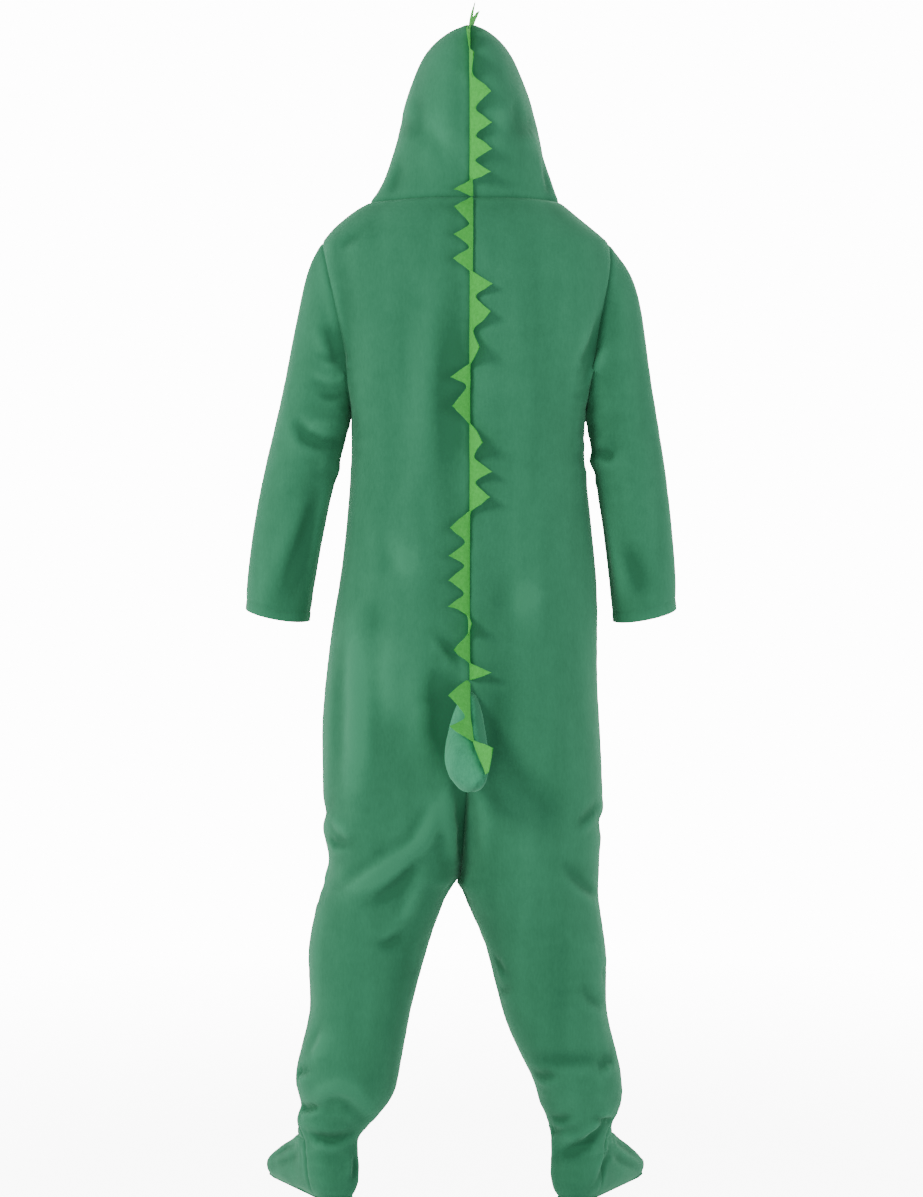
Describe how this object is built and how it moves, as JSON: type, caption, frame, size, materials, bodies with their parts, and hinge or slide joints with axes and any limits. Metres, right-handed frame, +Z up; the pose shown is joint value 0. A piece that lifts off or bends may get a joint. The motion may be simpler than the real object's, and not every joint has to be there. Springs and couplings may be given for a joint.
{
  "type": "crocodile costume",
  "caption": "Hooded all-in-one crocodile costume of green fleece with feet, a zigzag of lime felt spikes down the back and a small stuffed tail.",
  "frame": {"origin": "between the wearer's shoulders, at the height of the shoulder points, on the middle plane and midway between the armholes' front and back", "axes": "+Z up along the body, -Y to the front of the garment, +X to the wearer's left"},
  "size_m": [0.678, 0.4473, 1.859],
  "materials": {
    "fleece": "soft napped fleece",
    "felt": "matt felt",
    "zip_tape": "woven tape",
    "zip_metal": "satin nickel plate"
  },
  "bodies": {
    "garment": {"back_left": "fleece", "back_right": "fleece", "front_left": "fleece", "front_right": "fleece", "sleeve_left": "fleece", "sleeve_right": "fleece", "hood_left": "fleece", "hood_right": "fleece", "foot_top_left": "fleece", "foot_top_right": "fleece", "sole_left": "fleece", "sole_right": "fleece", "tail_left": "fleece", "tail_right": "fleece", "hood_spikes": "felt", "back_spikes": "felt", "tail_spikes": "felt", "zip_tape_left": "zip_tape", "zip_tape_right": "zip_tape", "zip_slider": "zip_metal"},
    "pull_tab": {"zip_pull": "zip_metal"}
  },
  "joints": [
    {"name": "pull_swing", "type": "hinge", "parent": "garment", "child": "pull_tab", "pos_m": [0, -0.1057, 0.00931], "axis": [-1, 0, 0], "range_deg": [0, 150]}
  ]
}
